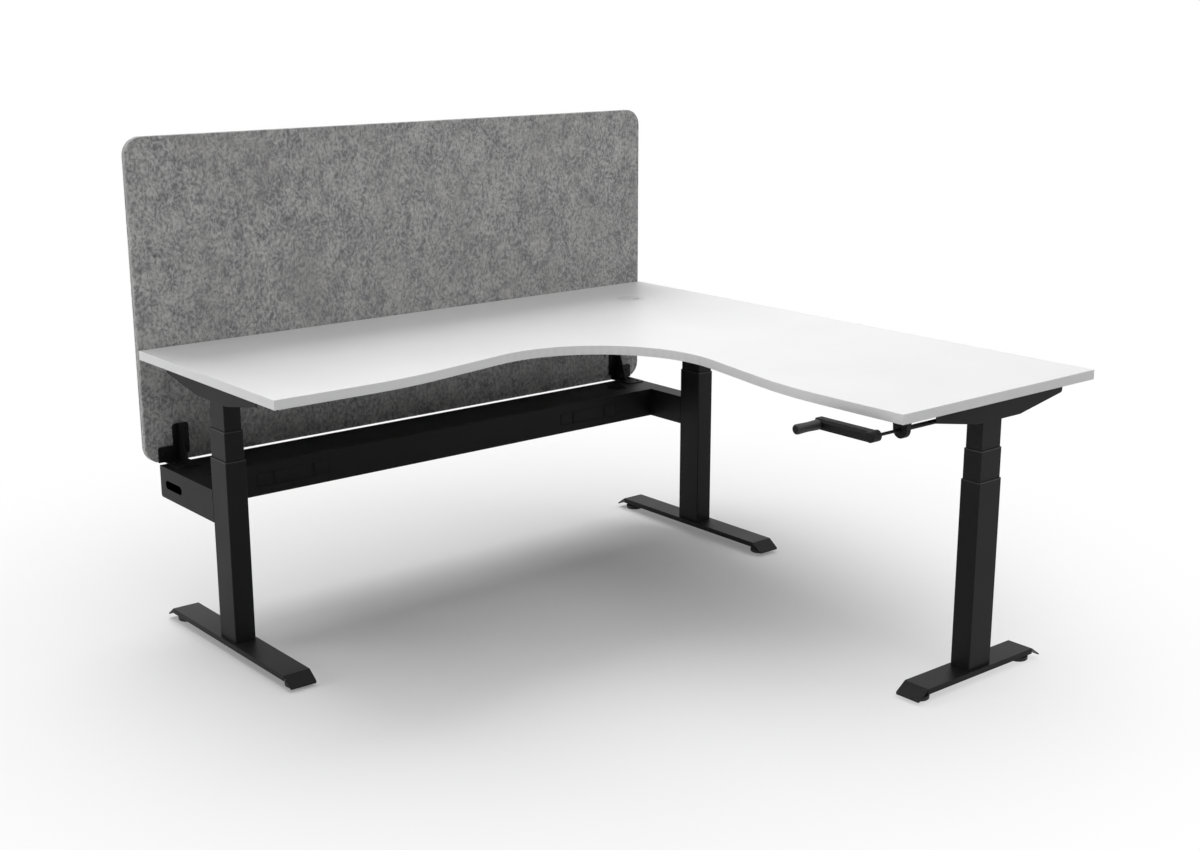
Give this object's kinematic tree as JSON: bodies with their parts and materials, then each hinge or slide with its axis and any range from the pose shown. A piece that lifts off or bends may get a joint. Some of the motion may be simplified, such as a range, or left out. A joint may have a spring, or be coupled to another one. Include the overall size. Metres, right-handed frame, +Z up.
{
  "type": "corner workstation",
  "caption": "Height-adjustable L-shaped corner workstation: wave-front board on telescopic crank-driven legs, with a cable tray that carries a felt privacy screen.",
  "frame": {"origin": "on the floor, in the middle of the whole footprint: halfway between the ends of the screen and halfway between the screen's back and the free end of the side wing", "axes": "+X along the screen towards the side wing, +Y from the user towards the screen, +Z up"},
  "size_m": [1.8, 1.826, 1.3435],
  "materials": {
    "black_powder_coat": "satin",
    "black_plastic": "matte",
    "zinc_steel": "bright zinc",
    "cast_housing": "as cast",
    "white_board": "white melamine",
    "white_plastic": "satin",
    "grey_felt": "pressed felt",
    "pale_core": "matte",
    "black_oxide": "black oxide"
  },
  "bodies": {
    "base": {"left_foot": "black_powder_coat", "left_outer_column": "black_powder_coat", "corner_foot": "black_powder_coat", "corner_outer_column": "black_powder_coat", "right_foot": "black_powder_coat", "right_outer_column": "black_powder_coat", "outer_collars": "black_plastic", "base_nut_tubes": "zinc_steel", "cable_tray": "black_powder_coat", "tray_lid": "black_powder_coat", "knockout_covers": "black_powder_coat", "left_return": "black_powder_coat", "corner_return": "black_powder_coat", "left_screen_bracket": "black_powder_coat", "right_screen_bracket": "black_powder_coat", "screen_front_felt": "grey_felt", "screen_core": "pale_core", "screen_back_felt": "grey_felt", "frame_screws": "black_oxide"},
    "desk": {"left_inner_column": "black_powder_coat", "left_arm": "black_powder_coat", "left_gearbox": "cast_housing", "corner_inner_column": "black_powder_coat", "corner_arm": "black_powder_coat", "corner_gearbox": "cast_housing", "right_inner_column": "black_powder_coat", "right_arm": "black_powder_coat", "right_gearbox": "cast_housing", "work_surface": "white_board", "board_screws": "zinc_steel", "port_sleeve": "white_plastic", "long_rail": "black_powder_coat", "cross_rail": "black_powder_coat", "junction_gearbox": "cast_housing", "crank_bearing": "black_powder_coat"},
    "left_middle": {"left_middle_column": "black_powder_coat", "left_middle_collar": "black_plastic", "left_screw_tube": "zinc_steel"},
    "left_screw": {"left_lift_screw": "zinc_steel"},
    "corner_middle": {"corner_middle_column": "black_powder_coat", "corner_middle_collar": "black_plastic", "corner_screw_tube": "zinc_steel"},
    "corner_screw": {"corner_lift_screw": "zinc_steel"},
    "right_middle": {"right_middle_column": "black_powder_coat", "right_middle_collar": "black_plastic", "right_screw_tube": "zinc_steel"},
    "right_screw": {"right_lift_screw": "zinc_steel"},
    "crank": {"crank_arm": "black_powder_coat", "crank_rod": "black_oxide", "grip_pin": "black_oxide"},
    "grip": {"crank_grip": "black_plastic"},
    "long_shaft": {"long_shaft": "zinc_steel"},
    "cross_shaft": {"cross_shaft": "zinc_steel"},
    "port_cap": {"port_cap": "white_plastic"},
    "left_front_glide": {"left_front_glide": "black_plastic"},
    "left_rear_glide": {"left_rear_glide": "black_plastic"},
    "corner_front_glide": {"corner_front_glide": "black_plastic"},
    "corner_rear_glide": {"corner_rear_glide": "black_plastic"},
    "right_front_glide": {"right_front_glide": "black_plastic"},
    "right_rear_glide": {"right_rear_glide": "black_plastic"}
  },
  "joints": [
    {"name": "crank_turn", "type": "hinge", "parent": "desk", "child": "crank", "pos_m": [0.11, -0.859, 0.714], "axis": [1, 0, 0], "range_deg": [-6480, 22500]},
    {"name": "desk_lift", "type": "slide", "parent": "base", "child": "desk", "axis": [0, 0, 1], "range_m": [-0.144, 0.5]},
    {"name": "grip_spin", "type": "hinge", "parent": "crank", "child": "grip", "pos_m": [0.0555, -0.7005, 0.714], "axis": [1, 0, 0], "continuous": true},
    {"name": "left_middle_slide", "type": "slide", "parent": "base", "child": "left_middle", "axis": [0, 0, 1], "range_m": [-0.072, 0.25]},
    {"name": "left_screw_turn", "type": "hinge", "parent": "desk", "child": "left_screw", "pos_m": [-0.841, 0.512, 0.5], "axis": [0, 0, 1], "range_deg": [-6480, 22500]},
    {"name": "corner_middle_slide", "type": "slide", "parent": "base", "child": "corner_middle", "axis": [0, 0, 1], "range_m": [-0.072, 0.25]},
    {"name": "corner_screw_turn", "type": "hinge", "parent": "desk", "child": "corner_screw", "pos_m": [0.825, 0.512, 0.5], "axis": [0, 0, 1], "range_deg": [-6480, 22500]},
    {"name": "right_middle_slide", "type": "slide", "parent": "base", "child": "right_middle", "axis": [0, 0, 1], "range_m": [-0.072, 0.25]},
    {"name": "right_screw_turn", "type": "hinge", "parent": "desk", "child": "right_screw", "pos_m": [0.525, -0.859, 0.5], "axis": [0, 0, 1], "range_deg": [-6480, 22500]},
    {"name": "cross_shaft_turn", "type": "hinge", "parent": "desk", "child": "cross_shaft", "pos_m": [0.525, -0.17, 0.714], "axis": [0, 1, 0], "range_deg": [-22500, 6480]},
    {"name": "long_shaft_turn", "type": "hinge", "parent": "desk", "child": "long_shaft", "pos_m": [-0.008, 0.512, 0.714], "axis": [1, 0, 0], "range_deg": [-6480, 22500]},
    {"name": "port_cap_lift", "type": "slide", "parent": "desk", "child": "port_cap", "axis": [0, 0, 1], "range_m": [0, 0.04]},
    {"name": "left_front_glide_level", "type": "slide", "parent": "base", "child": "left_front_glide", "axis": [0, 0, -1], "range_m": [0, 0.008]},
    {"name": "left_rear_glide_level", "type": "slide", "parent": "base", "child": "left_rear_glide", "axis": [0, 0, -1], "range_m": [0, 0.008]},
    {"name": "corner_front_glide_level", "type": "slide", "parent": "base", "child": "corner_front_glide", "axis": [0, 0, -1], "range_m": [0, 0.008]},
    {"name": "corner_rear_glide_level", "type": "slide", "parent": "base", "child": "corner_rear_glide", "axis": [0, 0, -1], "range_m": [0, 0.008]},
    {"name": "right_front_glide_level", "type": "slide", "parent": "base", "child": "right_front_glide", "axis": [0, 0, -1], "range_m": [0, 0.008]},
    {"name": "right_rear_glide_level", "type": "slide", "parent": "base", "child": "right_rear_glide", "axis": [0, 0, -1], "range_m": [0, 0.008]}
  ],
  "couplings": [
    {"joint": "desk_lift", "follows": "crank_turn", "m_per_rad": 0.0012732},
    {"joint": "left_middle_slide", "follows": "crank_turn", "m_per_rad": 0.00063662},
    {"joint": "left_screw_turn", "follows": "crank_turn", "ratio": 1},
    {"joint": "corner_middle_slide", "follows": "crank_turn", "m_per_rad": 0.00063662},
    {"joint": "corner_screw_turn", "follows": "crank_turn", "ratio": 1},
    {"joint": "right_middle_slide", "follows": "crank_turn", "m_per_rad": 0.00063662},
    {"joint": "right_screw_turn", "follows": "crank_turn", "ratio": 1},
    {"joint": "cross_shaft_turn", "follows": "crank_turn", "ratio": -1},
    {"joint": "long_shaft_turn", "follows": "crank_turn", "ratio": 1}
  ]
}
